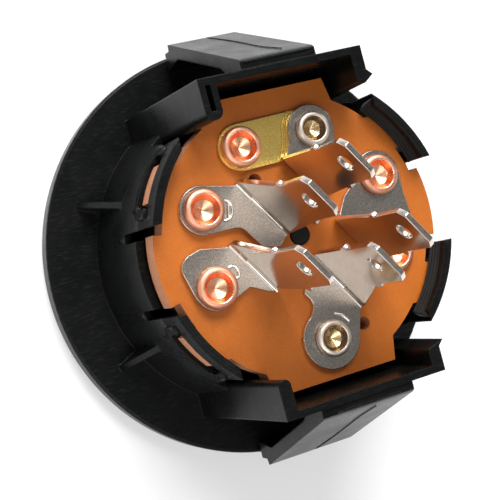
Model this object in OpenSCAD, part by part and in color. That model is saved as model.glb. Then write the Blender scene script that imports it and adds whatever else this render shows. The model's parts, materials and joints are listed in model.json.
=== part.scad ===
// Snap-in key switch with five spade terminals.
// The front face of the bezel stands on z = 0 and the terminals point up along +Z.

/* [Bezel] */
// Outer diameter of the round bezel
bezel_d = 59.8; // [57:0.2:70]
// Height of the bezel rim, from the front face to the panel seat
bezel_h = 3.1; // [2.6:0.1:4.5]
// Thickness of the bezel plate
bezel_plate_t = 1.8; // [1.4:0.1:2.4]
// Width of the raised rim on the front
rim_w = 2; // [1.2:0.1:3]
// Rounding of the rim edges
rim_round = 0.45; // [0.2:0.05:0.6]

/* [Neck] */
// How much further out the neck stands at the bezel than at the sills of the windows
neck_draft = 1.35; // [0.9:0.05:2]
// How far the neck stands out past the finger heads at those sills
sill_step = 0.15; // [0.05:0.05:0.5]
// Thickness of the neck wall
neck_wall = 1; // [0.8:0.05:1.2]
// Height of the closed part of the neck, below the slots
neck_closed_h = 14; // [10:0.5:16]
// Height of the stops that stand under the side lobes of the board
side_wall_h = 18; // [16:0.2:18.4]
// Width of the slots between those stops and the fingers
side_slot_w = 1.25; // [1:0.05:2.5]
// Diameter of the panel hole that the gussets centre the switch in
panel_hole_d = 53; // [51.5:0.2:54.5]
// Height of the four gussets above the bezel seat
gusset_h = 8.2; // [5:0.2:10]
// Thickness of the gussets
gusset_t = 0.9; // [0.7:0.1:1.5]
// Angle of the gussets from the side axis
gusset_angle = 27; // [20:1:36]

/* [Snap fingers] */
// Height of the finger tips above the back face of the board
finger_over_board = 3.3; // [2.6:0.1:4]
// Gap between the round of the board and the finger heads
finger_gap = 0.95; // [0.7:0.05:1.2]
// Wall of the finger heads
head_wall = 1.2; // [1:0.05:1.4]
// Gap between the side lobes of the board and the fingers
side_lobe_gap = 1.1; // [0.6:0.05:1.6]
// Distance of the fingers from the root of the arms
finger_arm_gap = 0.8; // [0.4:0.05:1.2]
// Angle that a window leaves free before the board tab in it
window_play = 2.7; // [1.5:0.1:4]
// Angle that a window leaves free past the tip of that tab
window_play_end = 3.3; // [2.8:0.1:4]
// Radius of the window corners
window_corner = 0.8; // [0.3:0.1:1.4]
// Width of the raised border below and beside a window
border_w = 1.2; // [0.6:0.1:1.3]
// Height of that border over the neck
border_t = 0.25; // [0.1:0.05:0.4]
// Depth of the ridges on the finger heads
ridge_depth = 0.1; // [0.05:0.01:0.15]
// Number of ridges on the inside of a head
ridge_count = 5; // [3:1:7]
// Number of ridges on the top of a head
top_ridge_count = 3; // [2:1:4]

/* [Arms] */
// Gap between the end lobes of the board and the arms
end_lobe_gap = 1.15; // [0.6:0.05:1.6]
// Thickness of the flat wall of an arm
arm_wall = 1; // [0.8:0.05:1.2]
// Height of an arm above the back face of the board
arm_over_board = 8; // [5:0.5:10]
// Gap between the end lobes of the board and the slotted return
return_gap = 0.2; // [0.1:0.05:0.6]
// Lean of the two ends of an arm toward each other, in degrees
arm_lean = 3.6; // [2:0.1:4.5]
// Thickness of the returns at both ends of an arm
return_t = 1.7; // [1.2:0.1:1.8]
// Length of the straight part of a return
return_len = 4.3; // [3.4:0.1:4.8]
// Thickness of the slotted return of the upper arm
slotted_return_t = 2.3; // [1.8:0.1:2.6]
// Width of the slot moulded into it
return_slot_w = 0.7; // [0.4:0.05:0.8]
// Length of that slot
return_slot_l = 3.4; // [2:0.1:3.8]
// Depth of that slot
return_slot_h = 6; // [2:0.5:10]
// Reach of the pointed lips beyond the outer face of a return
lip_reach = 0.75; // [0.3:0.05:1]

/* [Snap tabs] */
// Width of the upper snap tab
upper_tab_w = 10.6; // [8:0.2:13]
// Width of the lower snap tab
lower_tab_w = 13.4; // [8:0.2:15]
// How far the tip of a tab stands out from its arm
tab_out = 8.95; // [7.5:0.05:10]
// Thickness of the tab at its root, over the arm wall
tab_root_t = 1.45; // [1.1:0.05:1.8]
// Thickness of the springy leaf
leaf_t = 1.95; // [1.5:0.05:2.3]
// Thickness of the panel that the foot of the tab grips
panel_t = 1.2; // [0.8:0.1:2.5]
// Height of the catch step above the foot
catch_h = 2; // [1:0.1:3]
// Depth of the catch step
catch_depth = 0.9; // [0.5:0.05:1.2]
// Width of the foot of the tab
foot_w = 2.5; // [1.8:0.1:3]

/* [Terminal board] */
// Diameter of the round part of the board
board_d = 38.1; // [37.6:0.1:38.6]
// Thickness of the board
board_t = 3.2; // [2.6:0.1:3.6]
// Height of the seat that carries the board
board_seat = 18.8; // [18.6:0.1:20]
// Reach of the two side lobes beyond the round
side_lobe_out = 1.25; // [0.6:0.05:1.5]
// Half angle of the side lobes
side_lobe_half_angle = 13.5; // [10:0.5:14.5]
// Reach of the upper and lower lobes beyond the round
end_lobe_out = 0.65; // [0.3:0.05:1.5]
// Half width of the end lobes at their root
end_lobe_half_root = 9.6; // [8.5:0.1:9.8]
// Half width of the end lobes at their edge
end_lobe_half_edge = 9; // [8:0.1:9.4]
// Reach of the four board tabs that catch in the windows, beyond the round
board_tab_out = 1.95; // [1.5:0.05:2.1]
// First angle of a board tab
board_tab_from = 25; // [24:0.5:27]
// Last angle of a board tab at the round of the board
board_tab_to = 43.5; // [40:0.5:44]
// Last angle of a board tab at its outer edge
board_tab_tip = 39.5; // [36:0.5:40.5]
// Diameter of the small gauge hole in the board
gauge_hole_d = 1.9; // [1:0.1:2.2]
// Distance of that hole from the axis
gauge_hole_reach = 9.35; // [8.8:0.05:9.6]

/* [Rivets] */
// Distance of the rivets from the edge of the round board
rivet_edge = 5; // [4.8:0.1:5.2]
// How far the ground rivet stands outside that circle
ground_rivet_out = 0.3; // [0:0.05:0.4]
// Diameter of the rivet shanks
rivet_shank_d = 3.2; // [3:0.05:3.4]
// Diameter of the rolled rivet rims
rivet_rim_d = 5.55; // [5.2:0.05:5.7]
// Height of the rolled rivet rims
rivet_rim_h = 1.35; // [1.1:0.05:1.5]
// Diameter of the rivet heads that the contact plate touches
rivet_head_d = 5.8; // [5:0.1:6]
// Thickness of those heads
rivet_head_t = 0.9; // [0.6:0.05:1]

/* [Terminals] */
// Thickness of the terminal sheet
sheet_t = 0.8; // [0.7:0.05:0.9]
// Width of a spade blade at its tip
blade_w = 6.3; // [6:0.1:6.6]
// Height of a blade above the board
blade_h = 17.7; // [15:0.1:19]
// Height of the stop nibs above the board
nib_h = 10.3; // [9:0.1:11]
// Reach of a stop nib beyond the blade
nib_reach = 0.5; // [0.3:0.05:0.7]
// Diameter of the latch hole in a blade
blade_hole_d = 1.7; // [1.4:0.1:2]
// Distance of the latch hole from the tip
blade_hole_from_tip = 3.3; // [2.8:0.1:4]
// Direction of the blade width, from the X axis
blade_angle = -57.4; // [-60:0.2:-55]
// Inner radius of the bend between base and blade
bend_r = 0.5; // [0.3:0.05:0.8]
// Thickness of the brass link strip
link_t = 0.6; // [0.5:0.05:0.8]
// Width of the link strip
link_w = 6.2; // [5.9:0.1:6.4]

/* [Rotor] */
// Diameter of the key barrel
barrel_d = 16; // [14:0.2:18]
// Depth of the barrel face below the front of the bezel
barrel_recess = 0.5; // [0.2:0.1:1]
// Height of the hub that the barrel turns in
hub_h = 5.7; // [5:0.1:6.5]
// Outer diameter of the hub
hub_d = 23; // [21:0.2:26]
// Clearance of the turning parts, on the radius
run_gap = 0.08; // [0.04:0.01:0.1]
// Diameter of the rotor disc
disc_d = 25.2; // [24:0.2:27]
// Thickness of the washer under the rotor disc
washer_t = 0.35; // [0.25:0.05:0.6]
// Thickness of the rotor disc
disc_t = 2.6; // [2:0.1:3]
// Reach of the stop lug beyond the disc
lug_reach = 2.8; // [2:0.1:3.2]
// Angle that the stop lug covers
lug_angle = 24; // [16:1:30]
// Travel of the key from off to start
key_travel = 80; // [60:1:90]
// Diameter of the rear pivot in the board
pivot_d = 2.7; // [2.4:0.1:3.2]
// How far the pivot stands out of the back face of the board
pivot_over_board = 0.35; // [0.1:0.05:0.6]
// Width of the key slot
key_w = 2.4; // [2:0.1:3]
// Length of the key slot
key_l = 9.6; // [7:0.2:11]
// Depth of the key slot
key_depth = 7; // [5:0.5:8]

/* [Contacts and springs] */
// Thickness of the contact plate
plate_t = 1; // [0.8:0.05:1.2]
// Width of the arms of the contact plate
plate_arm_w = 4.6; // [4:0.1:5.4]
// Height of the contact domes
dome_h = 0.8; // [0.6:0.05:1]
// Gap left between a dome and a rivet head
dome_gap = 0.2; // [0.1:0.05:0.3]
// Height of the boss on the rotor disc that the contact spring stands on
spring_seat_h = 2.4; // [1.8:0.1:3]
// Wire diameter of the contact spring
contact_wire_d = 0.7; // [0.5:0.05:0.8]
// Mean diameter of the contact spring
contact_coil_d = 6.6; // [6.2:0.1:7]
// Turns of the contact spring
contact_turns = 3.5; // [2.5:0.5:4.5]
// Wire diameter of the return spring
return_wire_d = 0.9; // [0.7:0.05:1]
// Mean diameter of the return spring
return_coil_d = 17.2; // [16.6:0.2:18]
// Turns of the return spring
return_turns = 2.5; // [1.5:1:2.5]

/* [Hidden] */
$fn = 72;
eps = 0.01;

// Colours
black = [0.07, 0.075, 0.075];
phenolic = [0.72, 0.38, 0.14];
tin = [0.75, 0.73, 0.70];
brass = [0.82, 0.66, 0.28];
copper = [0.80, 0.45, 0.33];
steel = [0.62, 0.63, 0.65];
rubber = [0.12, 0.12, 0.12];

// Heights that follow from the driving sizes
board_top = board_seat + board_t;
head_d = board_d + 2 * (finger_gap + head_wall);
sill_d = head_d + 2 * sill_step;
neck_d = sill_d + 2 * neck_draft;
board_side_d = board_d + 2 * side_lobe_out;
board_tab_d = board_d + 2 * board_tab_out;
rivet_circle_d = board_d - 2 * rivet_edge;
end_lobe_reach = board_d / 2 + end_lobe_out;
arm_reach = end_lobe_reach + end_lobe_gap + arm_wall;
tab_reach = arm_reach + tab_out;
finger_start = board_side_d / 2 * sin(side_lobe_half_angle) + side_lobe_gap;
side_wall_half = finger_start - side_slot_w;
window_from = board_tab_from - window_play;
window_to = board_tab_tip + window_play_end;
finger_top = board_top + finger_over_board;
arm_top = board_top + arm_over_board;
arm_half_board = end_lobe_half_root + return_gap + slotted_return_t;
arm_half_root = arm_half_board + (board_top - bezel_h) * tan(arm_lean);
arm_half_end = arm_half_board - (arm_top - board_top) * tan(arm_lean);
finger_end = arm_half_root + finger_arm_gap;
window_top = board_top + 0.1;
window_sill = board_seat - 0.2;
sill_ledge = 0.3;
inner_step = head_wall - neck_wall;
finger_turn = asin(finger_start / (head_d / 2));
plate_floor = bezel_h - bezel_plate_t;
head_face = board_seat - rivet_head_t;
plate_top = head_face - dome_gap - dome_h;
disc_z = hub_h + washer_t;
disc_top = disc_z + disc_t;
spring_seat = disc_top + spring_seat_h;
pivot_top = board_top + pivot_over_board;
bend_line = sheet_t / 2 + bend_r;
hole_play = 0.1;

// How far the inner edges of the lipped returns stand back from the outer face of their arm
upper_lip_back = return_len + 0.6;
lower_lip_back = return_len - 0.7;

// Inner drum that carries the board and the stops for the rotor lug
drum_outer_r = board_d / 2 - 0.15;
drum_wall = 1.5;
drum_inner_r = drum_outer_r - drum_wall;
rib_t = 1.2;
stop_gap = 1;
lug_middle = 270;
stop_angle = 14;
stop_low = lug_middle - lug_angle / 2 - stop_gap;
stop_high = lug_middle + lug_angle / 2 + key_travel + stop_gap;

// Seal groove of the barrel and the two posts that drive the contact plate
seal_d = 1.1;
groove_h = seal_d + 0.1;
groove_z = hub_h - 1 - groove_h;
groove_r = barrel_d / 2 - seal_d - 0.02;
post_r = 5.7;
post_d = 2;
post_angles = [60, 240];

// Places of the seven rivets round the circle
link_angle = 112;
battery_angle = 69.3;
starter_angle = 21.3;
magneto_angle = 153.5;
lights_angle = 195.8;
ground_angle = 271.6;
spare_angle = 336.2;
function polar(r, a) = [r * cos(a), r * sin(a)];
function rivet_at(a) = polar(rivet_circle_d / 2 + (a == ground_angle ? ground_rivet_out : 0), a);

// Feet of the blades on the board
battery_foot = [1.94, 7.31];
magneto_foot = [-3.72, 4.05];
starter_foot = [7.69, -2.68];
lights_foot = [-6.68, -3.7];
ground_foot = [2.72, -5.66];
// Ends of each bend along the blade width, from the middle of the blade
battery_bend = [-3.6, 3.9];
magneto_bend = [-5.7, 4];
starter_bend = [-4.2, 3.6];
lights_bend = [-6, 2.5];
ground_bend = [-3.4, 6.6];
// Radius of the round end of each base, about its rivet
battery_end_r = 3.35;
magneto_end_r = 3.2;
starter_end_r = 3.4;
lights_end_r = 2.95;
ground_end_r = 4.1;
// Ear of the lights base, beyond its bend
lights_ear = [-7.2, -5.8];
lights_ear_r = 1.95;
// A point of the board seen from a blade: along the blade width, then out of its face
function turned(p, a) = [p[0] * cos(a) - p[1] * sin(a), p[0] * sin(a) + p[1] * cos(a)];
function from_foot(p, foot) = turned(p - foot, -blade_angle);

// Radius of the neck at a height, with its moulding draft
function neck_r(z) = (neck_d - (neck_d - sill_d) * (z - bezel_h) / (window_sill - bezel_h)) / 2;

// One sector of a turned profile
module sector(a0, a1) {
    rotate([0, 0, a0])
        rotate_extrude(angle = a1 - a0)
            children();
}

// Plate and rim of the bezel, with the hub for the key barrel
module bezel_profile() {
    r = bezel_d / 2;
    difference() {
        union() {
            translate([barrel_d / 2 + run_gap, plate_floor])
                square([r - barrel_d / 2 - run_gap, bezel_plate_t]);
            translate([r - rim_w, 0])
                square([rim_w, bezel_h]);
            translate([barrel_d / 2 + run_gap, 0])
                square([(hub_d - barrel_d) / 2 - run_gap, hub_h]);
        }
        for (z = [0, bezel_h])
            translate([r, z])
                rim_corner();
    }
}

// What is cut from a rim edge to round it
module rim_corner() {
    difference() {
        square(2 * rim_round, center = true);
        for (z = [-rim_round, rim_round])
            translate([-rim_round, z])
                circle(r = rim_round);
    }
}

// Profile of the neck wall: a drafted root, a ledge, and a head with ridges round its inner face and its top
module neck_profile() {
    inner = head_d / 2 - head_wall;
    ledge_z = window_sill - sill_ledge;
    swell_z = ledge_z - 2 * (inner_step + sill_ledge);
    crest = finger_top - ridge_depth;
    first = window_top + 2 * sill_ledge;
    top_pitch = head_wall / top_ridge_count;
    pitch = (crest - first) / ridge_count;
    polygon(concat(
        [[inner, ledge_z], [neck_r(swell_z) - neck_wall, swell_z]],
        [[neck_r(bezel_h) - neck_wall, bezel_h - eps], [neck_r(bezel_h), bezel_h - eps]],
        [[neck_r(ledge_z), ledge_z], [head_d / 2, window_sill + sill_ledge / 2], [head_d / 2, crest]],
        [for (i = [0 : top_ridge_count - 1]) each [
            [head_d / 2 - (i + 0.5) * top_pitch, finger_top], [head_d / 2 - (i + 1) * top_pitch, crest]
        ]],
        [for (i = [0 : ridge_count - 1]) each [
            [inner + ridge_depth, crest - (i + 0.5) * pitch], [inner, crest - (i + 1) * pitch]
        ]]
    ));
}

// Rounded rectangle between two corners, as one closed outline
module rounded(low, high, r, steps = 6) {
    corners = [[high[0] - r, high[1] - r], [low[0] + r, high[1] - r], [low[0] + r, low[1] + r], [high[0] - r, low[1] + r]];
    polygon([for (k = [0 : 3], i = [0 : steps]) corners[k] + polar(r, 90 * (k + i / steps))]);
}

// The shape of a window with a margin round it, as a bar that runs straight out through the wall
module window_bar(margin) {
    half = head_d / 2 * sin((window_to - window_from) / 2);
    rotate([0, 0, (window_from + window_to) / 2])
        translate([head_d / 2 - 3 * head_wall, 0, 0])
            rotate([90, 0, 90])
                linear_extrude(6 * head_wall)
                    rounded(
                        [-half - margin, window_sill - margin], [half + margin, window_top + margin],
                        window_corner + margin
                    );
}

// Raised border that runs below a window and up both its sides
module window_border() {
    intersection() {
        sector(finger_turn, 90 - finger_turn)
            translate([head_d / 2 - head_wall / 2, neck_closed_h + eps])
                square([neck_r(window_sill) + border_t - head_d / 2 + head_wall / 2, window_top - sill_ledge - neck_closed_h]);
        window_bar(border_w);
    }
}

// Neck wall on one side: closed root, stop under the side lobe, and two windowed fingers
module neck_side() {
    closed_to = asin((arm_reach - return_len) / neck_r(neck_closed_h)) + 3;
    near = head_d / 2 - 3 * head_wall;
    tall = finger_top - neck_closed_h + 1;
    difference() {
        union() {
            sector(-closed_to, closed_to)
                neck_profile();
            window_border();
            mirror([0, 1, 0])
                window_border();
        }
        translate([near, -finger_start, side_wall_h])
            cube([neck_d, 2 * finger_start, tall]);
        for (s = [-1, 1]) {
            translate([near, s > 0 ? side_wall_half : -finger_start, neck_closed_h])
                cube([neck_d, finger_start - side_wall_half, tall]);
            translate([0, s > 0 ? finger_start : -neck_d - finger_start, neck_closed_h])
                cube([finger_end, neck_d, tall]);
        }
        window_bar(0);
        mirror([0, 1, 0])
            window_bar(0);
    }
}

// Triangular gussets between the bezel and the neck
module gussets() {
    for (a = [gusset_angle, -gusset_angle, 180 - gusset_angle, 180 + gusset_angle])
        rotate([90, 0, a])
            translate([0, 0, -gusset_t / 2])
                linear_extrude(gusset_t)
                    polygon([
                        [neck_r(bezel_h) - neck_wall / 2, bezel_h - eps],
                        [panel_hole_d / 2 - 0.3, bezel_h - eps],
                        [neck_r(bezel_h + gusset_h), bezel_h + gusset_h],
                        [neck_r(bezel_h + gusset_h) - neck_wall / 2, bezel_h + gusset_h]
                    ]);
}

// One return at the end of an arm, leaning in with it; the children are its outline seen from the outer corner
module arm_return() {
    difference() {
        translate([arm_half_root, arm_reach, bezel_h - eps])
            rotate([0, -arm_lean, 0])
                linear_extrude((arm_top - bezel_h) / cos(arm_lean) + 1)
                    children();
        translate([0, 0, arm_top])
            cube([2 * arm_half_root, 2 * arm_reach, 3]);
    }
}

// Return with a round inner edge
module round_return(t) {
    arm_return() {
        translate([-t, -return_len])
            square([t, return_len]);
        translate([-t / 2, -return_len])
            circle(d = t);
    }
}

// Return with a slot that opens at its top
module slotted_return() {
    difference() {
        round_return(slotted_return_t);
        translate([arm_half_end - slotted_return_t / 2 - return_slot_w / 2, arm_reach - return_len, arm_top - return_slot_h])
            cube([return_slot_w, return_slot_l, return_slot_h + 1]);
    }
}

// Return whose inner end flares out to a pointed lip
module lipped_return(back) {
    tip = return_len - 0.3;
    arm_return()
        polygon([
            [-return_t, 0], [0, 0], [0, -tip + lip_reach], [lip_reach, -tip],
            [-return_t / 2 + 0.3, -back], [-return_t, -back + 0.4]
        ]);
}

// Snap tab: a leaf that slopes out from the arm and ends in a stepped foot behind the panel
module snap_tab(w) {
    root_z = arm_top - 0.4;
    foot_z = bezel_h + panel_t;
    catch_z = foot_z + catch_h;
    slope = (tab_reach - arm_reach - tab_root_t) / (root_z - catch_z);
    knee_z = catch_z + 2.6;
    joint_z = root_z - 5.2;
    rotate([90, 0, 90])
        translate([0, 0, -w / 2])
            linear_extrude(w)
                polygon([
                    [arm_reach - arm_wall / 2, root_z],
                    [arm_reach + tab_root_t - 0.35, root_z],
                    [arm_reach + tab_root_t, root_z - 0.5],
                    [tab_reach, catch_z],
                    [tab_reach - catch_depth, catch_z - 0.3],
                    [tab_reach - catch_depth, foot_z],
                    [tab_reach - catch_depth - foot_w, foot_z],
                    [tab_reach - slope * (knee_z - catch_z) - leaf_t, knee_z],
                    [tab_reach - slope * (joint_z - 1.5 - catch_z) - leaf_t, joint_z - 1.5],
                    [arm_reach + 0.9, joint_z - 0.4],
                    [arm_reach - arm_wall / 2, joint_z]
                ]);
}

// Arm above or below the board: a flat wall, a lipped return and the snap tab; the children are the other return
module arm(tab_w, lip_back) {
    translate([0, arm_reach, 0])
        rotate([90, 0, 0])
            linear_extrude(arm_wall)
                polygon([
                    [-arm_half_root, bezel_h - eps], [arm_half_root, bezel_h - eps],
                    [arm_half_end, arm_top], [-arm_half_end, arm_top]
                ]);
    lipped_return(lip_back);
    mirror([1, 0, 0])
        children();
    snap_tab(tab_w);
}

// Inner drum, its ribs and the two stops for the rotor lug
module drum() {
    rib_top = neck_closed_h - 2;
    rotate_extrude()
        translate([drum_inner_r, bezel_h - eps])
            square([drum_wall, board_seat - bezel_h + eps]);
    for (a = [0, 33, 147, 180, 213, 327])
        rotate([0, 0, a])
            translate([drum_outer_r - drum_wall / 2, -rib_t / 2, bezel_h - eps])
                cube([neck_r(rib_top) - neck_wall / 2 - drum_outer_r + drum_wall / 2, rib_t, rib_top - bezel_h]);
    for (a = [90, 270])
        rotate([0, 0, a])
            translate([drum_outer_r - drum_wall / 2, -rib_t / 2, bezel_h - eps])
                cube([arm_reach - arm_wall / 2 - drum_outer_r + drum_wall / 2, rib_t, rib_top - bezel_h]);
    stop_r = disc_d / 2 + 0.5;
    for (a = [stop_low - stop_angle, stop_high])
        sector(a, a + stop_angle)
            translate([stop_r, bezel_h - eps])
                square([drum_inner_r + drum_wall / 2 - stop_r, disc_top + 0.4 - bezel_h]);
}

module housing() {
    color(black) {
        rotate_extrude()
            bezel_profile();
        for (a = [0, 180])
            rotate([0, 0, a])
                neck_side();
        gussets();
        arm(upper_tab_w, upper_lip_back)
            slotted_return();
        mirror([0, 1, 0])
            arm(lower_tab_w, lower_lip_back)
                round_return(return_t);
        drum();
    }
}

module board_outline() {
    circle(d = board_d);
    for (a = [0, 180])
        rotate([0, 0, a])
            polygon([
                [-end_lobe_half_root, 0], [end_lobe_half_root, 0],
                [end_lobe_half_root, sqrt(pow(board_d / 2, 2) - pow(end_lobe_half_root, 2))],
                [end_lobe_half_edge, end_lobe_reach], [-end_lobe_half_edge, end_lobe_reach],
                [-end_lobe_half_root, sqrt(pow(board_d / 2, 2) - pow(end_lobe_half_root, 2))]
            ]);
}

// One of the four tabs that catch under the finger heads, narrower at its tip
module board_tab() {
    root = board_d / 2 - 2;
    tip = board_tab_d / 2;
    intersection() {
        circle(r = tip);
        polygon([
            polar(root, board_tab_from), polar(tip + 1, board_tab_from),
            polar(tip + 1, board_tab_tip), polar(tip, board_tab_tip),
            polar(board_d / 2, board_tab_to), polar(root, board_tab_to)
        ]);
    }
}

module terminal_board() {
    color(phenolic)
        difference() {
            union() {
                translate([0, 0, board_seat])
                    linear_extrude(board_t)
                        board_outline();
                for (a = [0, 180])
                    sector(a - side_lobe_half_angle, a + side_lobe_half_angle)
                        translate([board_d / 2 - 2, board_seat])
                            square([board_side_d / 2 - board_d / 2 + 2, board_t]);
                for (a = [0, 180], s = [0, 1])
                    rotate([0, 0, a])
                        mirror([0, s, 0])
                            translate([0, 0, board_seat])
                                linear_extrude(board_t)
                                    board_tab();
            }
            translate([0, 0, board_seat - 1])
                cylinder(d = pivot_d + 2 * run_gap, h = board_t + 2);
            for (a = [link_angle, battery_angle, starter_angle, magneto_angle, lights_angle, ground_angle,
                      spare_angle])
                translate([rivet_at(a)[0], rivet_at(a)[1], board_seat - 1])
                    cylinder(d = rivet_shank_d + hole_play, h = board_t + 2);
            rotate([0, 0, link_angle + 4.7])
                translate([gauge_hole_reach, 0, board_seat - 1])
                    cylinder(d = gauge_hole_d, h = board_t + 2);
        }
}

// Side view of the bend: the base runs to negative y and the blade rises
module bend_profile() {
    outer = bend_r + sheet_t;
    translate([-sheet_t / 2 - bend_r, outer])
        intersection() {
            difference() {
                circle(r = outer);
                circle(r = bend_r);
            }
            translate([0, -outer - 1])
                square([outer + 1, outer + 1]);
        }
}

// Blade seen from its face, from the bend up to the chamfered tip
module blade_outline(low, high) {
    half = blade_w / 2;
    shoulder = half + 0.2;
    from = sheet_t + bend_r;
    chamfer = 0.95;
    polygon([
        [low, from], [high, from],
        [shoulder, nib_h - 0.7], [half + nib_reach, nib_h - 0.45], [half + nib_reach, nib_h + 0.35],
        [half, nib_h + 0.6], [half, blade_h - chamfer], [half - chamfer, blade_h],
        [chamfer - half, blade_h], [-half, blade_h - chamfer], [-half, nib_h + 0.6],
        [-half - nib_reach, nib_h + 0.35], [-half - nib_reach, nib_h - 0.45], [-shoulder, nib_h - 0.7]
    ]);
}

// A spade terminal: its base outline is given by the children, seen from the foot of the blade
module terminal(foot, bend, side, rivet, z = board_top) {
    translate([foot[0], foot[1], z])
        rotate([0, 0, blade_angle]) {
            translate([0, sheet_t / 2, 0])
                rotate([90, 0, 0])
                    difference() {
                        linear_extrude(sheet_t)
                            blade_outline(bend[0], bend[1]);
                        translate([0, blade_h - blade_hole_from_tip, -1])
                            cylinder(d = blade_hole_d, h = sheet_t + 2);
                    }
            mirror([0, side > 0 ? 1 : 0, 0])
                translate([bend[0], 0, 0])
                    rotate([90, 0, 90])
                        linear_extrude(bend[1] - bend[0])
                            bend_profile();
            difference() {
                linear_extrude(sheet_t)
                    children();
                translate([rivet[0], rivet[1], -1])
                    cylinder(d = rivet_shank_d + hole_play, h = sheet_t + 2);
            }
        }
}

module battery_terminal() {
    rivet = from_foot(rivet_at(battery_angle), battery_foot);
    color(tin)
        terminal(battery_foot, battery_bend, 1, rivet, board_top + link_t) {
            translate(rivet)
                circle(r = battery_end_r);
            polygon([
                [battery_bend[0], bend_line], [battery_bend[1], bend_line],
                [3.6, 2.6], [0.7, 6.6], rivet + [2, 2.6], rivet + [-3.3, -0.5]
            ]);
        }
}

module magneto_terminal() {
    rivet = from_foot(rivet_at(magneto_angle), magneto_foot);
    color(tin)
        terminal(magneto_foot, magneto_bend, -1, rivet) {
            translate(rivet)
                circle(r = magneto_end_r);
            polygon([
                [magneto_bend[0], -bend_line], rivet + [-0.825, 0.565] * magneto_end_r, rivet + [0.795, -0.607] * magneto_end_r, [-1.75, -4.75],
                [-1.3, -4.35], [-0.7, -4.2], [2.6, -4.1], [4.3, -2.3], [magneto_bend[1], -bend_line]
            ]);
        }
}

module starter_terminal() {
    rivet = from_foot(rivet_at(starter_angle), starter_foot);
    spare = rivet_at(spare_angle);
    color(tin)
        difference() {
            terminal(starter_foot, starter_bend, 1, rivet) {
                translate(rivet)
                    circle(r = starter_end_r);
                polygon([
                    [starter_bend[0], bend_line], [starter_bend[1], bend_line], [4.1, 6.6], [3.5, 8.4],
                    [1.1, 9.6], rivet + [1.5, 3.05], rivet + [-1.9, -2.8], [-5.3, 3.1], [-4.4, 1.3]
                ]);
            }
            translate([spare[0], spare[1], board_top - 1])
                cylinder(r = rivet_rim_d / 2 + 0.3, h = rivet_rim_h + 1.2);
        }
}

module lights_terminal() {
    rivet = from_foot(rivet_at(lights_angle), lights_foot);
    color(tin)
        terminal(lights_foot, lights_bend, -1, rivet) {
            translate(rivet)
                circle(r = lights_end_r);
            translate(lights_ear)
                circle(r = lights_ear_r);
            polygon([
                [lights_bend[0], -bend_line], [-8.6, -3.7], [-9.1, -5.3], [-7.9, -7.6], [-4.4, -8.8],
                rivet + [2.6, -1.3], [-0.7, -5], [-0.25, -2.6], [1.4, -1.6], [lights_bend[1], -bend_line]
            ]);
        }
}

module ground_terminal() {
    rivet = from_foot(rivet_at(ground_angle), ground_foot);
    color(tin)
        terminal(ground_foot, ground_bend, -1, rivet) {
            translate(rivet)
                circle(r = ground_end_r);
            polygon([
                [ground_bend[0], -bend_line], [-0.75, -4.9], [0.4, -4.85], [1.2, -5.15], [1.7, -5.9],
                rivet + [-2.9, -2.9], rivet + [3.6, 2], [ground_bend[1], -bend_line]
            ]);
        }
}

module link_strip() {
    a = rivet_at(link_angle);
    b = rivet_at(battery_angle);
    run = b - a;
    color(brass)
        translate([a[0], a[1], board_top])
            rotate([0, 0, atan2(run[1], run[0])])
                difference() {
                    linear_extrude(link_t) {
                        circle(d = link_w);
                        translate([norm(run), 0])
                            circle(d = link_w);
                        translate([0, -link_w / 2])
                            square([norm(run), link_w]);
                    }
                    for (x = [0, norm(run)])
                        translate([x, 0, -1])
                            cylinder(d = rivet_shank_d + hole_play, h = link_t + 2);
                }
}

// Semi-tubular rivet through the board: flat head inside, rolled rim outside
module rivet(a, seat, tint = copper) {
    roll = rivet_rim_h * 0.55;
    roll_r = rivet_rim_d / 2 - roll;
    bore_r = roll_r - roll + 0.12;
    at = rivet_at(a);
    color(tint)
        translate([at[0], at[1], 0])
            rotate_extrude()
                difference() {
                    union() {
                        translate([0, head_face])
                            square([rivet_head_d / 2, rivet_head_t - eps]);
                        translate([0, head_face])
                            square([rivet_shank_d / 2, seat + roll - head_face]);
                        intersection() {
                            translate([roll_r, seat + rivet_rim_h - roll])
                                circle(r = roll, $fn = 40);
                            translate([0, seat + eps])
                                square([rivet_rim_d, rivet_rim_h * 2]);
                        }
                        translate([0, seat + eps])
                            square([roll_r, roll]);
                    }
                    translate([-1, seat - 0.6])
                        square([bore_r + 1, rivet_rim_h * 2]);
                    polygon([[-1, seat - 0.6 + eps], [bore_r, seat - 0.6 + eps], [0.35, seat - 1.7], [-1, seat - 1.7]]);
                }
}

module link_rivet() rivet(link_angle, board_top + link_t);
module battery_rivet() rivet(battery_angle, board_top + link_t + sheet_t, [0.70, 0.58, 0.48]);
module starter_rivet() rivet(starter_angle, board_top + sheet_t);
module magneto_rivet() rivet(magneto_angle, board_top + sheet_t);
module lights_rivet() rivet(lights_angle, board_top + sheet_t);
module ground_rivet() rivet(ground_angle, board_top + sheet_t, [0.72, 0.62, 0.42]);
module spare_rivet() rivet(spare_angle, board_top);

// Rotor: key barrel, disc with a stop lug, two drive posts and the rear pivot
module rotor_profile() {
    seat_r = contact_coil_d / 2 + 0.9;
    polygon([
        [0, barrel_recess], [barrel_d / 2, barrel_recess],
        [barrel_d / 2, groove_z], [groove_r, groove_z],
        [groove_r, groove_z + groove_h], [barrel_d / 2, groove_z + groove_h],
        [barrel_d / 2, disc_z], [disc_d / 2, disc_z],
        [disc_d / 2, disc_top], [seat_r, disc_top],
        [seat_r, spring_seat], [pivot_d / 2, spring_seat],
        [pivot_d / 2, pivot_top], [0, pivot_top]
    ]);
}

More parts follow.
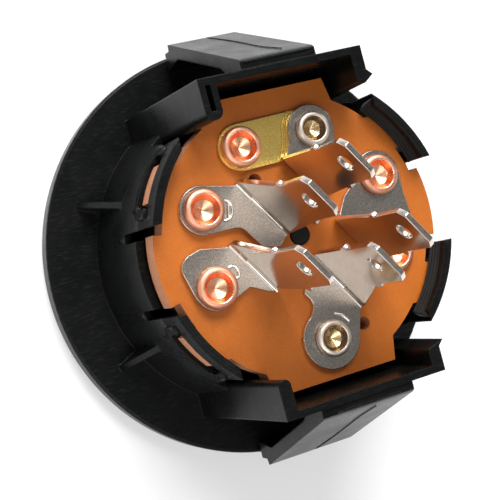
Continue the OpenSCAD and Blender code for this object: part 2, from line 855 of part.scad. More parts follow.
module rotor() {
    color(black)
        difference() {
            union() {
                rotate_extrude()
                    rotor_profile();
                sector(lug_middle - lug_angle / 2, lug_middle + lug_angle / 2)
                    translate([disc_d / 2 - 1, disc_z + 0.2])
                        square([lug_reach + 1, disc_t - 0.4]);
                for (a = post_angles)
                    translate([post_r * cos(a), post_r * sin(a), disc_top - 0.5])
                        cylinder(d = post_d, h = plate_top - 0.2 - disc_top + 0.5);
            }
            translate([-key_l / 2, -key_w / 2, barrel_recess - 1])
                cube([key_l, key_w, key_depth + 1]);
        }
}

// Washer between the hub and the rotor disc
module rotor_washer() {
    color(steel)
        translate([0, 0, hub_h + 0.02])
            difference() {
                cylinder(d = hub_d - 1, h = disc_z - hub_h - 0.04);
                translate([0, 0, -1])
                    cylinder(d = barrel_d + 0.3, h = 3);
            }
}

// Rubber ring in the groove of the barrel
module barrel_seal() {
    color(rubber)
        translate([0, 0, groove_z + groove_h / 2])
            rotate_extrude()
                translate([barrel_d / 2 - seal_d / 2, 0])
                    circle(d = seal_d, $fn = 24);
}

// Points of a wire that follows a path, as one closed skin
module wire(path, d, sides = 8) {
    n = len(path);
    points = [
        for (i = [0 : n - 1])
            let (
                t = path[min(i + 1, n - 1)] - path[max(i - 1, 0)],
                f = t / norm(t),
                side = cross(f, abs(f[2]) > 0.9 ? [1, 0, 0] : [0, 0, 1]),
                x = side / norm(side),
                y = cross(f, x)
            )
            for (k = [0 : sides - 1])
                path[i] + d / 2 * (x * cos(360 * k / sides) + y * sin(360 * k / sides))
    ];
    skin = [
        for (i = [0 : n - 2], k = [0 : sides - 1])
            [i * sides + k, i * sides + (k + 1) % sides, (i + 1) * sides + (k + 1) % sides, (i + 1) * sides + k]
    ];
    caps = [[for (k = [0 : sides - 1]) sides - 1 - k], [for (k = [0 : sides - 1]) (n - 1) * sides + k]];
    polyhedron(points = points, faces = concat(skin, caps), convexity = 8);
}
function coil(r, turns, z0, z1, a0 = 0, steps = 20) = [
    for (i = [0 : turns * steps])
        [r * cos(a0 + 360 * i / steps), r * sin(a0 + 360 * i / steps), z0 + (z1 - z0) * i / (turns * steps)]
];

// Torsion spring that brings the key back from the start position
module return_spring() {
    r = return_coil_d / 2;
    low = disc_top + return_wire_d / 2 + 0.15;
    high = low + return_turns * (return_wire_d + 0.35);
    tail = drum_inner_r - 1.2;
    turns_path = coil(r, return_turns, low, high, 20);
    last = turns_path[len(turns_path) - 1];
    way = [cos(20 + 360 * return_turns + 80), sin(20 + 360 * return_turns + 80), 0];
    color(steel)
        wire(concat(turns_path, [last + way * 1.5, last + way * (tail - r)]), return_wire_d);
}

// Spring that presses the contact plate on the rivet heads
module contact_spring() {
    low = spring_seat + contact_wire_d / 2 + 0.05;
    high = plate_top - plate_t - contact_wire_d / 2 - 0.05;
    color(steel)
        wire(coil(contact_coil_d / 2, contact_turns, low, high), contact_wire_d);
}

// Contact plate with three arms, each with a dome that wipes the rivet heads
module contact_plate() {
    color(brass)
        difference() {
            union() {
                translate([0, 0, plate_top - plate_t])
                    linear_extrude(plate_t) {
                        circle(d = 2 * post_r + post_d + 2.6);
                        for (a = [link_angle, lights_angle, spare_angle])
                            rotate([0, 0, a]) {
                                translate([0, -plate_arm_w / 2])
                                    square([rivet_circle_d / 2, plate_arm_w]);
                                translate([rivet_circle_d / 2, 0])
                                    circle(d = plate_arm_w);
                            }
                    }
                for (a = [link_angle, lights_angle, spare_angle])
                    translate([rivet_at(a)[0], rivet_at(a)[1], plate_top - eps])
                        dome();
            }
            translate([0, 0, plate_top - plate_t - 1])
                cylinder(d = pivot_d + 0.7, h = plate_t + 2);
            for (a = post_angles)
                translate([post_r * cos(a), post_r * sin(a), plate_top - plate_t - 1])
                    cylinder(d = post_d + 0.6, h = plate_t + 2);
        }
}

module dome() {
    base = 1.6;
    ball = (base * base + dome_h * dome_h) / (2 * dome_h);
    rotate_extrude()
        intersection() {
            translate([0, dome_h - ball])
                circle(r = ball);
            square([base + 1, dome_h + 1]);
        }
}

housing();
terminal_board();
battery_terminal();
magneto_terminal();
starter_terminal();
lights_terminal();
ground_terminal();
link_strip();
link_rivet();
battery_rivet();
starter_rivet();
magneto_rivet();
lights_rivet();
ground_rivet();
spare_rivet();
rotor();
rotor_washer();
barrel_seal();
return_spring();
contact_spring();
contact_plate();
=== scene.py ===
import bpy, bmesh, json, math
from mathutils import Matrix, Vector

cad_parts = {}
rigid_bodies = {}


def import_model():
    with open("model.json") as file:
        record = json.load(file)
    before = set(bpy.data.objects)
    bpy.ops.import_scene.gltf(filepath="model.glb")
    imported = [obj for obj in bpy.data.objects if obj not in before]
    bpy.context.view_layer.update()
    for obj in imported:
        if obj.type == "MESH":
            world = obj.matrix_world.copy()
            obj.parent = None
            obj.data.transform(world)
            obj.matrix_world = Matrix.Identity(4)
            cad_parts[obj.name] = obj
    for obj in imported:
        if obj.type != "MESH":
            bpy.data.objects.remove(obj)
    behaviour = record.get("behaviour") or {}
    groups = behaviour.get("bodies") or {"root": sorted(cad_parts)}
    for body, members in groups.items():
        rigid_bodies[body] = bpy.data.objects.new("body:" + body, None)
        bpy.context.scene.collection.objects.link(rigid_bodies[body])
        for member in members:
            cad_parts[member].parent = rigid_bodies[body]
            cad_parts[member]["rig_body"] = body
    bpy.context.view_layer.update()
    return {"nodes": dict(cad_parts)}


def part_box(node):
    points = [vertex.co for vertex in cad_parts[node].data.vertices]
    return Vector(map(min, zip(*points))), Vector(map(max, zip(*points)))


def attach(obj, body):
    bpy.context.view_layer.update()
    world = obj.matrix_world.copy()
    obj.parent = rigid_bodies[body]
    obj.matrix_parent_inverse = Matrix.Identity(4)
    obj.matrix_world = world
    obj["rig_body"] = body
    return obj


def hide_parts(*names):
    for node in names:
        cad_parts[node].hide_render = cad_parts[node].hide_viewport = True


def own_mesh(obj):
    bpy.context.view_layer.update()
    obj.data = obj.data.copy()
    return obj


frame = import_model()

# places and lengths in the setups are in millimetres, turns in degrees
mm = 0.001
weld = 1e-6  # in metres; points closer than this become one


def linked(name, data):
    item = bpy.data.objects.new(name, data)
    bpy.context.collection.objects.link(item)
    return item


def meshOf(name, bm, looks=(), smooth=False):
    for face in bm.faces:
        face.smooth = smooth
    mesh = bpy.data.meshes.new(name)
    bm.to_mesh(mesh)
    bm.free()
    for look in looks:
        mesh.materials.append(look)
    return mesh


# the view of the photograph
cameraSetup = {"place": (-67.02, 1.83, 171.06), "target": (-7.4, -0.24, 22.0), "roll": 76.97,
               "lens": 88.68, "sensor": 36, "near": 5}


def addCamera(setup):
    data = bpy.data.cameras.new("viewCamera")
    data.lens, data.sensor_width, data.clip_start = setup["lens"], setup["sensor"], setup["near"] * mm
    camera = linked("viewCamera", data)
    place, target = (Vector(setup[k]) * mm for k in ("place", "target"))
    facing = (target - place).to_track_quat("-Z", "Y").to_matrix()
    turned = facing @ Matrix.Rotation(math.radians(setup["roll"]), 3, "Z")
    camera.matrix_world = Matrix.Translation(place) @ turned.to_4x4()
    bpy.context.scene.camera = camera


addCamera(cameraSetup)
bpy.context.scene.view_settings.view_transform = "Standard"
print("camera set")

# a wide soft key from beyond the top of the picture, a weak fill from its lower left,
# and a box overhead that mostly shows in the metal
lampAim = (0, 0, 15)
lampSetup = [
    {"name": "keyBox", "place": (110, 900, 840), "size": (720, 600), "power": 20},
    {"name": "fillBox", "place": (-520, -330, 520), "size": (400, 400), "power": 1.0},
    {"name": "overBox", "place": (-120, -300, 700), "size": (400, 400), "power": 1.4},
]


def addLamp(name, place, size, power):
    data = bpy.data.lights.new(name, "AREA")
    data.shape, data.size, data.size_y = "RECTANGLE", size[0] * mm, size[1] * mm
    data.energy = power
    lamp = linked(name, data)
    lamp.location = Vector(place) * mm
    lamp.rotation_euler = (Vector(lampAim) * mm - lamp.location).to_track_quat("-Z", "Y").to_euler()


for lamp in lampSetup:
    addLamp(**lamp)

# white at the horizon and dim overhead, so that faces turned up to the camera stay rich;
# each stop is the height of the direction and the strength there
worldSetup = [(0.16, 1.0), (0.22, 0.42), (0.85, 0.27)]


def paleWorld(setup):
    world = bpy.data.worlds.new("paleRoom")
    world.use_nodes = True
    bpy.context.scene.world = world
    nodes, links = world.node_tree.nodes, world.node_tree.links
    back = nodes["Background"]
    back.inputs["Color"].default_value = (1, 1, 1, 1)
    where = nodes.new("ShaderNodeTexCoord")
    parts = nodes.new("ShaderNodeSeparateXYZ")
    links.new(where.outputs["Generated"], parts.inputs["Vector"])
    room = nodes.new("ShaderNodeValToRGB")
    stops = room.color_ramp.elements
    stops.new(setup[1][0])
    for stop, (height, strength) in zip(stops, setup):
        stop.position, stop.color = height, (strength, strength, strength, 1)
    links.new(parts.outputs["Z"], room.inputs["Fac"])
    links.new(room.outputs["Color"], back.inputs["Strength"])


paleWorld(worldSetup)
print("light set")


def newLook(name, colour, roughness, metallic=0.0):
    look = bpy.data.materials.new(name)
    look.use_nodes = True
    shader = look.node_tree.nodes["Principled BSDF"]
    shader.inputs["Base Color"].default_value = (*colour, 1)
    shader.inputs["Roughness"].default_value = roughness
    shader.inputs["Metallic"].default_value = metallic
    return look, shader


def addNoise(look, scale, detail, roughness=0.55, stretch=1, turn=0):
    nodes, links = look.node_tree.nodes, look.node_tree.links
    place = nodes.new("ShaderNodeTexCoord")
    mapping = nodes.new("ShaderNodeMapping")
    mapping.inputs["Scale"].default_value = (stretch, 1, 1)
    mapping.inputs["Rotation"].default_value = (0, 0, math.radians(turn))
    noise = nodes.new("ShaderNodeTexNoise")
    noise.inputs["Scale"].default_value = scale
    noise.inputs["Detail"].default_value = detail
    noise.inputs["Roughness"].default_value = roughness
    links.new(place.outputs["Object"], mapping.inputs["Vector"])
    links.new(mapping.outputs["Vector"], noise.inputs["Vector"])
    return noise.outputs["Fac"]


def remap(look, source, low, high, fromLow=0.3, fromHigh=0.7):
    ranged = look.node_tree.nodes.new("ShaderNodeMapRange")
    values = {"From Min": fromLow, "From Max": fromHigh, "To Min": low, "To Max": high}
    for socket, value in values.items():
        ranged.inputs[socket].default_value = value
    look.node_tree.links.new(source, ranged.inputs["Value"])
    return ranged.outputs["Result"]


def mixColour(look, factor, first, second):
    mix = look.node_tree.nodes.new("ShaderNodeMix")
    mix.data_type = "RGBA"
    for socket, value in ((mix.inputs[6], first), (mix.inputs[7], second)):
        if isinstance(value, tuple):
            socket.default_value = (*value, 1)
        else:
            look.node_tree.links.new(value, socket)
    look.node_tree.links.new(factor, mix.inputs[0])
    return mix.outputs[2]


def addBump(look, shader, source, height, strength, under=None):
    bump = look.node_tree.nodes.new("ShaderNodeBump")
    bump.inputs["Distance"].default_value = height * mm
    bump.inputs["Strength"].default_value = strength
    look.node_tree.links.new(source, bump.inputs["Height"])
    if under is not None:
        look.node_tree.links.new(under, bump.inputs["Normal"])
    look.node_tree.links.new(bump.outputs["Normal"], shader.inputs["Normal"])
    return bump.outputs["Normal"]


def addFacing(look, low, high):  # 0 on faces turned sideways, 1 on faces turned up or down
    nodes, links = look.node_tree.nodes, look.node_tree.links
    place = nodes.new("ShaderNodeTexCoord")
    parts = nodes.new("ShaderNodeSeparateXYZ")
    links.new(place.outputs["Normal"], parts.inputs["Vector"])
    size = nodes.new("ShaderNodeMath")
    size.operation = "ABSOLUTE"
    links.new(parts.outputs["Z"], size.inputs[0])
    return remap(look, size.outputs[0], 0, 1, low, high)


# in the setups of the looks a noise is its scale and detail, and its roughness where that differs; a relief
# is its height and strength; a fade is the share of a mark at both ends and the levels of the noise there

# black plastic; hair and cross are hairlines, each as scale, stretch, turn and strength of its relief
plasticSetup = {"sheen": 0.12, "grain": (5200, 2), "cloud": (240, 4), "hair": (4600, 0.13, 38, 0.5),
                "cross": (4800, 0.12, -52, 0.4), "mark": (0.0135, 0.0145, 0.014),
                "markFade": (0, 0.8, 0.58, 0.76), "hairHeight": 0.012, "relief": (0.008, 0.45),
                "edge": 0.3, "edgeSamples": 6}


def mouldedBlack(name, deep, worn, low, high, setup):
    look, shader = newLook(name, deep, low)
    shader.inputs["Specular IOR Level"].default_value = setup["sheen"]
    links = look.node_tree.links
    fine, soft = addNoise(look, *setup["grain"]), addNoise(look, *setup["cloud"])
    links.new(remap(look, soft, low, high), shader.inputs["Roughness"])
    body = mixColour(look, remap(look, soft, 0, 1), deep, worn)
    rounded = look.node_tree.nodes.new("ShaderNodeBevel")
    rounded.samples = setup["edgeSamples"]
    rounded.inputs["Radius"].default_value = setup["edge"] * mm
    under = rounded.outputs["Normal"]
    for scale, stretch, turn, strength in (setup["hair"], setup["cross"]):
        lines = addNoise(look, scale, 1, stretch=stretch, turn=turn)
        body = mixColour(look, remap(look, lines, *setup["markFade"]), body, setup["mark"])
        under = addBump(look, shader, lines, setup["hairHeight"], strength, under)
    links.new(body, shader.inputs["Base Color"])
    addBump(look, shader, fine, *setup["relief"], under)
    return look


# laminate: the flat faces are cloudy and flecked, the cut edges paler
boardSetup = {"sheen": 0.28, "speck": (4200, 3), "cloud": (180, 3), "facing": (0.3, 0.7),
              "face": ((0.45, 0.115, 0.013), (0.51, 0.135, 0.017)),
              "edge": ((0.42, 0.15, 0.06), (0.62, 0.30, 0.17)),
              "fleck": (0.60, 0.24, 0.07), "fleckFade": (0, 0.35, 0.5, 0.8), "rough": (0.36, 0.55),
              "relief": (0.012, 0.3)}


def boardLaminate(setup):
    look, shader = newLook("boardLaminate", (0.42, 0.12, 0.022), 0.45)
    shader.inputs["Specular IOR Level"].default_value = setup["sheen"]
    links = look.node_tree.links
    speck, cloud = addNoise(look, *setup["speck"]), addNoise(look, *setup["cloud"])
    face = mixColour(look, remap(look, cloud, 0, 1), *setup["face"])
    face = mixColour(look, remap(look, speck, *setup["fleckFade"]), face, setup["fleck"])
    edge = mixColour(look, remap(look, speck, 0, 1), *setup["edge"])
    colour = mixColour(look, addFacing(look, *setup["facing"]), edge, face)
    links.new(colour, shader.inputs["Base Color"])
    links.new(remap(look, speck, *setup["rough"]), shader.inputs["Roughness"])
    addBump(look, shader, speck, *setup["relief"])
    return look


# plated sheet: the blades are smooth and bright, the flat bases darker, grainy and full of glints
sheetSetup = {"grain": (4600, 2, 0.6), "spark": (9500, 1, 0.5), "cloud": (300, 4), "facing": (0.75, 0.95),
              "blade": ((0.68, 0.605, 0.54), (0.79, 0.71, 0.64)),
              "base": ((0.25, 0.222, 0.197), (0.43, 0.387, 0.345)),
              "glint": (0.95, 0.93, 0.88), "glintFade": (0, 0.5, 0.62, 0.74), "polish": 0.17,
              "satin": (0.30, 0.42), "relief": (0.002, 0.5)}


def platedSheet(setup):
    look, shader = newLook("platedSheet", (0.66, 0.62, 0.57), 0.26, 1.0)
    links = look.node_tree.links
    grain, spark, cloud = (addNoise(look, *setup[key]) for key in ("grain", "spark", "cloud"))
    flat = addFacing(look, *setup["facing"])
    blade = mixColour(look, remap(look, cloud, 0, 1), *setup["blade"])
    base = mixColour(look, remap(look, grain, 0, 1), *setup["base"])
    base = mixColour(look, remap(look, spark, *setup["glintFade"]), base, setup["glint"])
    links.new(mixColour(look, flat, blade, base), shader.inputs["Base Color"])
    level = look.node_tree.nodes.new("ShaderNodeMix")
    level.inputs[2].default_value = setup["polish"]
    links.new(flat, level.inputs[0])
    links.new(remap(look, grain, *setup["satin"]), level.inputs[3])
    links.new(level.outputs[0], shader.inputs["Roughness"])
    addBump(look, shader, grain, *setup["relief"])
    return look


# metals: light and dark colour, least and most roughness, strength of the dents and of the grit
metalNoise = {"grain": (5000, 2), "cloud": (700, 3), "dents": (2600, 2), "gritHeight": 0.004,
              "dentHeight": 0.03}
metalSetup = {
    "stripBrass": ((0.98, 0.70, 0.20), (0.93, 0.63, 0.16), 0.24, 0.36, 0, 0.5),
    "contactBrass": ((0.80, 0.60, 0.26), (0.70, 0.51, 0.20), 0.18, 0.32, 0, 0.5),
    "ringCopper": ((0.93, 0.49, 0.33), (0.82, 0.38, 0.24), 0.40, 0.54, 0.6, 0.5),
    # the lip is smoother than the ring, and its paler copper is a painted highlight on the rolled edge
    "lipPaintedHighlightCopper": ((0.98, 0.68, 0.52), (0.95, 0.56, 0.40), 0.24, 0.34, 0, 0.15),
    # the bore's deeper, darker red copper is painted shade in the hollow of the rivet
    "borePaintedShadeCopper": ((0.90, 0.34, 0.17), (0.80, 0.24, 0.11), 0.24, 0.34, 0, 0.15),
    "coneCopper": ((0.97, 0.58, 0.38), (0.93, 0.48, 0.29), 0.26, 0.34, 0, 0.15),
    "ringTin": ((0.97, 0.87, 0.77), (0.84, 0.72, 0.62), 0.38, 0.5, 0.6, 0.5),
    # the tin rivets' bores are a dark brown, painted shade in the hollow
    "borePaintedShadeTin": ((0.30, 0.23, 0.18), (0.20, 0.14, 0.11), 0.2, 0.3, 0, 0.5),
    "coneGold": ((0.95, 0.74, 0.42), (0.84, 0.58, 0.28), 0.22, 0.3, 0.3, 0.5),
    # the lances and fillets take a nickel far paler than the plated sheet they belong to: a painted highlight
    # along their rounded edges
    "paintedHighlightNickel": ((0.96, 0.94, 0.90), (0.88, 0.85, 0.80), 0.2, 0.3, 0, 0.5),
    "springWire": ((0.55, 0.55, 0.55), (0.42, 0.42, 0.43), 0.18, 0.32, 0, 0.5),
}


def rolledMetal(name, colour, deep, low, high, dents, grit):
    look, shader = newLook(name, colour, low, 1.0)
    links = look.node_tree.links
    grain, cloud = addNoise(look, *metalNoise["grain"]), addNoise(look, *metalNoise["cloud"])
    links.new(mixColour(look, remap(look, cloud, 0, 1), deep, colour), shader.inputs["Base Color"])
    links.new(remap(look, grain, low, high), shader.inputs["Roughness"])
    under = addBump(look, shader, grain, metalNoise["gritHeight"], grit)
    if dents:
        addBump(look, shader, addNoise(look, *metalNoise["dents"]), metalNoise["dentHeight"], dents, under)
    return look


def mattLook(name, colour, roughness, noise, low, high):
    look, shader = newLook(name, colour, roughness)
    grain = addNoise(look, *noise)
    look.node_tree.links.new(remap(look, grain, low, high), shader.inputs["Roughness"])
    return look


blackTones = {  # deep and worn colour, least and most roughness
    "mouldedBlack": ((0.0036, 0.0041, 0.0039), (0.0056, 0.006, 0.0058), 0.24, 0.34),
    # the ridges' black is a lighter copy of the moulded black: painted light that makes the ridged heads look
    # lit
    "ridgePaintedLightBlack": ((0.012, 0.0125, 0.012), (0.02, 0.021, 0.02), 0.3, 0.4),
}
blackLook, ridgePaintedLightLook = (mouldedBlack(name, *tones, plasticSetup) for name, tones in blackTones.items())
boardLook = boardLaminate(boardSetup)
sheetLook = platedSheet(sheetSetup)
metals = {name: rolledMetal(name, *setup) for name, setup in metalSetup.items()}
washerLook = mattLook("washerNylon", (0.72, 0.70, 0.64), 0.35, (300, 3), 0.3, 0.45)
rubberLook = mattLook("sealRubber", (0.018, 0.018, 0.018), 0.6, (2400, 2), 0.5, 0.7)
print("looks made")

# the round of a blade's latch hole, of radius 0.85 in the solid, is drawn out to that of its rounded rim
latchSetup = {"reach": 0.95, "rim": 1.2, "up": 14.4, "lean": -57.4}
bladePlaces = {
    "battery_terminal": (1.94, 7.31, 22.6), "magneto_terminal": (-3.72, 4.05, 22.0),
    "starter_terminal": (7.69, -2.68, 22.0), "lights_terminal": (-6.68, -3.7, 22.0),
    "ground_terminal": (2.72, -5.66, 22.0),
}
bladeLean = math.radians(latchSetup["lean"])
bladeAlong = Vector((math.cos(bladeLean), math.sin(bladeLean), 0))
bladeAcross = bladeAlong.cross(Vector((0, 0, 1)))


def widenLatch(bm, place, setup):
    centre = Vector((place[0], place[1], place[2] + setup["up"])) * mm
    for vert in bm.verts:
        out = vert.co - centre
        out -= bladeAcross * out.dot(bladeAcross)
        if out.length < setup["reach"] * mm:
            vert.co += out.normalized() * (setup["rim"] * mm - out.length)


# pieces that keep the solid's shape and get fine edges
edgeSetup = {"segments": 2, "angle": 32, "flat": 0.4, "weight": 80}
pieceSetup = {  # name, look, width of the edges, slot
    "housing": ("mouldedHousing", blackLook, 0.14, "black_plastic"),
    "terminal_board": ("laminateBoard", boardLook, 0.05, "laminate"),
    "battery_terminal": ("batterySpade", sheetLook, 0.11, "plated_sheet"),
    "magneto_terminal": ("magnetoSpade", sheetLook, 0.11, "plated_sheet"),
    "starter_terminal": ("starterSpade", sheetLook, 0.11, "plated_sheet"),
    "lights_terminal": ("lightsSpade", sheetLook, 0.11, "plated_sheet"),
    "ground_terminal": ("groundSpade", sheetLook, 0.11, "plated_sheet"),
    "link_strip": ("linkStrip", metals["stripBrass"], 0.05, "brass"),
}


def softenedCopy(node, name, look, edge, setup):
    bm = bmesh.new()
    bm.from_mesh(frame["nodes"][node].data)
    bmesh.ops.remove_doubles(bm, verts=bm.verts, dist=weld)
    if node in bladePlaces:
        widenLatch(bm, bladePlaces[node], latchSetup)
    bmesh.ops.dissolve_limit(bm, angle_limit=math.radians(setup["flat"]), verts=bm.verts, edges=bm.edges)
    piece = linked(name, meshOf(name, bm, [look], smooth=True))
    bevel = piece.modifiers.new("edges", "BEVEL")
    bevel.width, bevel.segments, bevel.limit_method = edge * mm, setup["segments"], "ANGLE"
    bevel.angle_limit = math.radians(setup["angle"])
    bevel.miter_outer = "MITER_ARC"
    bevel.use_clamp_overlap = node not in bladePlaces  # the blades' short edges would narrow it everywhere
    weighted = piece.modifiers.new("normals", "WEIGHTED_NORMAL")
    weighted.weight = setup["weight"]
    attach(piece, frame["nodes"][node]["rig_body"])
    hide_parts(node)
    return piece


pieces = {}
for node, (name, look, edge, slotName) in pieceSetup.items():
    pieces[node] = softenedCopy(node, name, look, edge, edgeSetup)

# a second small gauge hole, half under the ground terminal
gaugeSetup = {"place": (5.8, -13.75, 21), "radius": 0.9, "depth": 5, "sides": 32}


def cutHole(piece, setup):
    bm = bmesh.new()
    radius = setup["radius"] * mm
    bmesh.ops.create_cone(bm, cap_ends=True, segments=setup["sides"], radius1=radius, radius2=radius,
                          depth=setup["depth"] * mm)
    bmesh.ops.translate(bm, verts=bm.verts, vec=Vector(setup["place"]) * mm)
    cutter = linked("gaugeCutter", meshOf("gaugeCutter", bm))
    blank = linked("gaugeBlank", piece.data)
    cut = blank.modifiers.new("hole", "BOOLEAN")
    cut.operation, cut.object = "DIFFERENCE", cutter
    view = bpy.context.evaluated_depsgraph_get()
    cleaned = bpy.data.meshes.new_from_object(blank.evaluated_get(view))
    for item in (cutter, blank):
        bpy.data.objects.remove(item)
    piece.data = cleaned
    cleaned.materials.clear()
    cleaned.materials.append(boardLook)
    for face in cleaned.polygons:
        face.use_smooth = True


cutHole(pieces["terminal_board"], gaugeSetup)
print("blades and board made")

# rivets: a head under the board, a shank, a rolled ring with a raised lip, a bore that narrows, and a cone
# at its bottom; ring counts from the rim and the seat, rolled from the bore and the lip's top, wall from the
# bore and the seat, narrowing from the waist and the seat; bore and waist are those of the full rim
rivetSetup = {
    "steps": 72, "bottom": 17.9, "head": 2.9, "headTop": 18.79, "shank": 1.6, "tall": 1.35, "fullRim": 2.76,
    "bore": 1.92, "waist": 1.42, "lip": 1.12, "seam": 0.02, "lipWidth": 0.16,
    "ring": ((-0.26, 0.03), (-0.06, 0.2), (0, 0.5), (-0.04, 0.74), (-0.14, 0.92), (-0.3, 1.04)),
    "rolled": ((0.3, -0.02), (0.15, 0), (0.05, -0.04), (0, -0.14)),
    "wall": (-0.12, 0.72), "narrowing": ((0.1, 0.36), (0.06, 0.24), (-0.06, 0.18)),
    "coneFrom": 0.2, "cone": 0.75, "coneTip": (0.12, 0.02), "boreInset": 0.02,
}
copperLooks = [metals[name] for name in ("ringCopper", "lipPaintedHighlightCopper", "borePaintedShadeCopper", "coneCopper")]
tinLooks = [metals[name] for name in ("ringTin", "ringTin", "borePaintedShadeTin", "coneGold")]
rivetPlaces = {  # radius of the rim, looks of ring, lip, bore and cone, slot
    "link_rivet": (2.72, copperLooks, "copper"),
    "magneto_rivet": (2.76, copperLooks, "copper"),
    "lights_rivet": (2.78, copperLooks, "copper"),
    "starter_rivet": (2.76, copperLooks, "copper"),
    "spare_rivet": (2.76, copperLooks, "copper"),
    "battery_rivet": (2.36, tinLooks, "brass"),
    "ground_rivet": (2.5, tinLooks, "brass"),
}


def rolledRivet(node, rim, looks, setup):
    low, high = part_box(node)
    centre = (low + high) / 2
    seat = high.z / mm - setup["tall"]
    bore, waist = (setup[key] * rim / setup["fullRim"] for key in ("bore", "waist"))
    lipTop, coneTop = seat + setup["lip"], seat + setup["coneFrom"]
    tipRadius, tipDrop = setup["coneTip"]
    profile = [
        (0, setup["bottom"]), (setup["head"], setup["bottom"]), (setup["head"], setup["headTop"]),
        (setup["shank"], setup["headTop"]), (setup["shank"], seat + setup["seam"]),
        *((rim + out, seat + up) for out, up in setup["ring"]),
        *((bore + out, lipTop + up) for out, up in setup["rolled"]),
        (bore + setup["wall"][0], seat + setup["wall"][1]),
        *((waist + out, seat + up) for out, up in setup["narrowing"]),
        (tipRadius, coneTop - setup["cone"]), (0, coneTop - setup["cone"] - tipDrop),
    ]
    bm = bmesh.new()
    corners = [bm.verts.new((x * mm, 0, z * mm)) for x, z in profile]
    edges = [bm.edges.new(pair) for pair in zip(corners, corners[1:])]
    bmesh.ops.spin(bm, geom=corners + edges, cent=(0, 0, 0), axis=(0, 0, 1), angle=math.tau,
                   steps=setup["steps"], use_merge=True)
    bmesh.ops.remove_doubles(bm, verts=bm.verts, dist=weld)
    bmesh.ops.recalc_face_normals(bm, faces=bm.faces)
    for face in bm.faces:
        middle = face.calc_center_median() / mm
        reach = math.hypot(middle.x, middle.y)
        if middle.z < coneTop and reach < waist:
            face.material_index = 3
        # the bore's faces take the darker look, painted shade
        elif reach < bore - setup["boreInset"]:
            face.material_index = 2
        # the lip's faces take the paler look, a painted highlight
        elif reach < bore + setup["lipWidth"] and middle.z > seat:
            face.material_index = 1
    bmesh.ops.translate(bm, verts=bm.verts, vec=(centre.x, centre.y, 0))
    name = node.replace("_rivet", "RolledRivet")
    piece = linked(name, meshOf(name, bm, looks, smooth=True))
    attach(piece, frame["nodes"][node]["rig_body"])
    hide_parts(node)
    return piece


for node, (rim, looks, slotName) in rivetPlaces.items():
    rolledRivet(node, rim, looks, rivetSetup)
print("rivets made")

# ridged heads of the two fingers on the right, leaning back from the board; the outline is in radius and
# height, and a ridge is given by shares of its width and of its height
headSetup = {"from": (19.3, 22.5), "to": (20.86, 25.22), "back": ((21.0, 25.1), (20.9, 24.7)), "foot": 20.4,
             "ridges": 7, "ridge": ((0.25, 1), (0.75, 1), (1, 0)), "proud": 0.13, "turns": (17.2, 47.2),
             "steps": 36}


def ridgedHead(name, side, setup):
    (r0, z0), (r1, z1) = setup["from"], setup["to"]
    slope = math.hypot(r1 - r0, z1 - z0)
    outward = (-(z1 - z0) / slope * setup["proud"], (r1 - r0) / slope * setup["proud"])
    profile = [(setup["foot"], z0), (r0, z0)]
    for i in range(setup["ridges"]):
        for part, lift in setup["ridge"]:
            t = (i + part) / setup["ridges"]
            r, z = r0 + (r1 - r0) * t, z0 + (z1 - z0) * t
            profile.append((r + outward[0] * lift, z + outward[1] * lift))
    profile += setup["back"]
    start, stop = (math.radians(a) for a in setup["turns"])
    bm = bmesh.new()
    corners = [bm.verts.new((r * mm * math.cos(start), r * mm * math.sin(start), z * mm)) for r, z in profile]
    edges = [bm.edges.new(pair) for pair in zip(corners, corners[1:] + corners[:1])]
    bmesh.ops.spin(bm, geom=corners + edges, cent=(0, 0, 0), axis=(0, 0, 1), angle=stop - start,
                   steps=setup["steps"])
    bmesh.ops.holes_fill(bm, edges=[e for e in bm.edges if e.is_boundary])
    bmesh.ops.scale(bm, verts=bm.verts, vec=(1, side, 1))
    bmesh.ops.recalc_face_normals(bm, faces=bm.faces)
    # the ridged heads take the lighter black, painted light on the ridges
    piece = linked(name, meshOf(name, bm, [ridgePaintedLightLook]))
    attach(piece, frame["nodes"]["housing"]["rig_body"])


ridgedHead("upperHeadRidges", 1, headSetup)
ridgedHead("lowerHeadRidges", -1, headSetup)

# thin raised lines: the pierced lances, whose pale nickel bars are a painted highlight on the slots' edges,
# and the joggle of the strip, then the lines of both tabs
railShape = {"sides": 2, "resolution": 6, "order": 3}
railSetup = {  # radius, look, slot, node it rides with, points
    "magnetoLance": (0.2, metals["paintedHighlightNickel"], "plated_sheet", "magneto_terminal",
                     [(-10.18, 4.28, 22.8), (-9.01, 4.11, 22.8), (-8.41, 6.46, 22.8), (-9.43, 6.92, 22.8)]),
    "magnetoLanceBar": (0.2, metals["paintedHighlightNickel"], "plated_sheet", "magneto_terminal",
                        [(-8.95, 6.6, 22.8), (-9.55, 4.3, 22.8)]),
    "lightsLance": (0.22, metals["paintedHighlightNickel"], "plated_sheet", "lights_terminal",
                    [(-11.2, -1.75, 22.8), (-10.77, -1.5, 22.8), (-10.15, -1.9, 22.8), (-9.95, -2.9, 22.8),
                     (-10.4, -3.35, 22.8), (-10.85, -3.3, 22.8)]),
    "groundLance": (0.26, metals["paintedHighlightNickel"], "plated_sheet", "ground_terminal",
                    [(1.5, -11.3, 22.8), (2.2, -11.5, 22.8), (2.9, -12.05, 22.8), (3.36, -12.76, 22.8)]),
    "joggleOuter": (0.2, metals["stripBrass"], "brass", "link_strip",
                    [(2.55, 16.2, 22.5), (1.75, 15.5, 22.5), (1.15, 14.3, 22.55), (0.98, 12.9, 22.55),
                     (0.55, 11.5, 22.55), (-0.15, 10.35, 22.55)]),
    "joggleInner": (0.2, metals["stripBrass"], "brass", "link_strip",
                    [(2.9, 15.9, 22.55), (2.2, 15.2, 22.55), (1.7, 14.1, 22.6), (1.55, 12.8, 22.6),
                     (1.1, 11.4, 22.6), (0.35, 10.1, 22.6)]),
}
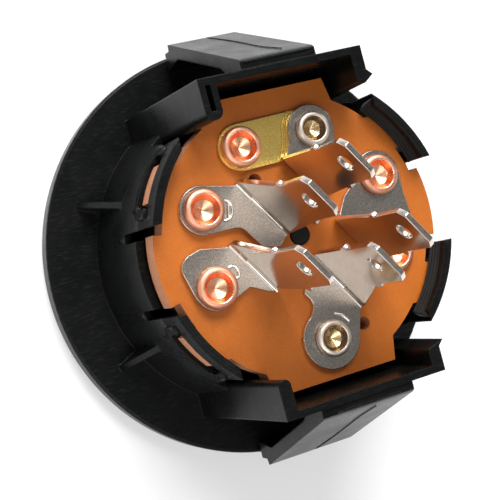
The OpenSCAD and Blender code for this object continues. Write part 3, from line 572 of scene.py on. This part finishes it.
tabSetup = {  # radius, points on the upper tab
    "TabLine": (0.07, [(0.7, 30.62, 7.0), (1.1, 29.32, 11.0), (1.2, 27.63, 16.2), (1.0, 25.95, 21.3),
                       (0.95, 25.0, 24.2), (1.7, 23.85, 27.7)]),
    "TabRail": (0.16, [(-4.7, 22.75, 29.6), (4.7, 22.75, 29.6)]),
}


def raisedRail(name, radius, look, slotName, node, points):
    curve = bpy.data.curves.new(name, "CURVE")
    curve.dimensions, curve.bevel_depth, curve.bevel_resolution = "3D", radius * mm, railShape["sides"]
    curve.use_fill_caps, curve.resolution_u = True, railShape["resolution"]
    path = curve.splines.new("NURBS")
    path.points.add(len(points) - 1)
    for knot, point in zip(path.points, points):
        knot.co = (*(Vector(point) * mm), 1)
    path.use_endpoint_u, path.order_u = True, min(railShape["order"], len(points))
    curve.materials.append(look)
    piece = linked(name, curve)
    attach(piece, frame["nodes"][node]["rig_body"])


for name, setup in railSetup.items():
    raisedRail(name, *setup)
for name, (radius, points) in tabSetup.items():
    for spot, side in (("upper", 1), ("lower", -1)):
        mirrored = [(x, side * y, z) for x, y, z in points]
        raisedRail(spot + name, radius, blackLook, "black_plastic", "housing", mirrored)

# the fillet where each blade rises from its base, its pale nickel a painted highlight along the bend
filletSetup = {"radius": 0.2, "half": 2.9, "out": 0.46, "up": 0.84,
               "nodes": ("magneto_terminal", "lights_terminal", "ground_terminal")}
for node in filletSetup["nodes"]:
    foot = Vector(bladePlaces[node]) + bladeAcross * filletSetup["out"]
    foot.z += filletSetup["up"]
    reach = bladeAlong * filletSetup["half"]
    raisedRail(node.replace("_terminal", "Fillet"), filletSetup["radius"], metals["paintedHighlightNickel"],
               "plated_sheet", node, [foot - reach, foot + reach])
print("fine lines made")


def contactSpring():
    source = frame["nodes"]["contact_spring"]
    bm = bmesh.new()
    bm.from_mesh(source.data)
    bmesh.ops.remove_doubles(bm, verts=bm.verts, dist=weld)
    spring = linked("contactCoil", meshOf("contactCoil", bm, [metals["springWire"]], smooth=True))
    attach(spring, source["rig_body"])
    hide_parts("contact_spring")
    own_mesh(spring)


contactSpring()

# pieces that are shown as the solids are
solidLooks = {
    "rotor": blackLook, "rotor_washer": washerLook, "barrel_seal": rubberLook,
    "return_spring": metals["springWire"], "contact_plate": metals["contactBrass"],
}
for node, look in solidLooks.items():
    item = frame["nodes"][node]
    item.data.materials.clear()
    item.data.materials.append(look)
print("pieces made")

# a plain floor that takes the shadow; its lift makes it white for the camera and in reflections
floorSetup = {"half": 1500, "below": 0.05, "colour": (0.70, 0.70, 0.71), "rough": 0.9, "lift": 0.30}


def addMath(nodes, links, operation, first, second):
    step = nodes.new("ShaderNodeMath")
    step.operation = operation
    links.new(first, step.inputs[0])
    if isinstance(second, float):
        step.inputs[1].default_value = second
    else:
        links.new(second, step.inputs[1])
    return step.outputs[0]


def addFloor(setup):
    bm = bmesh.new()
    bmesh.ops.create_grid(bm, x_segments=1, y_segments=1, size=setup["half"] * mm)
    bmesh.ops.translate(bm, verts=bm.verts, vec=(0, 0, -setup["below"] * mm))
    look, shader = newLook("paleFloor", setup["colour"], setup["rough"])
    nodes, links = look.node_tree.nodes, look.node_tree.links
    rays = nodes.new("ShaderNodeLightPath").outputs
    seen = addMath(nodes, links, "MAXIMUM", rays["Is Camera Ray"], rays["Is Glossy Ray"])
    seen = addMath(nodes, links, "MAXIMUM", seen, rays["Is Transmission Ray"])
    shader.inputs["Emission Color"].default_value = (1, 1, 1, 1)
    links.new(addMath(nodes, links, "MULTIPLY", seen, setup["lift"]), shader.inputs["Emission Strength"])
    linked("paleFloor", meshOf("paleFloor", bm, [look]))


addFloor(floorSetup)
print("floor made")
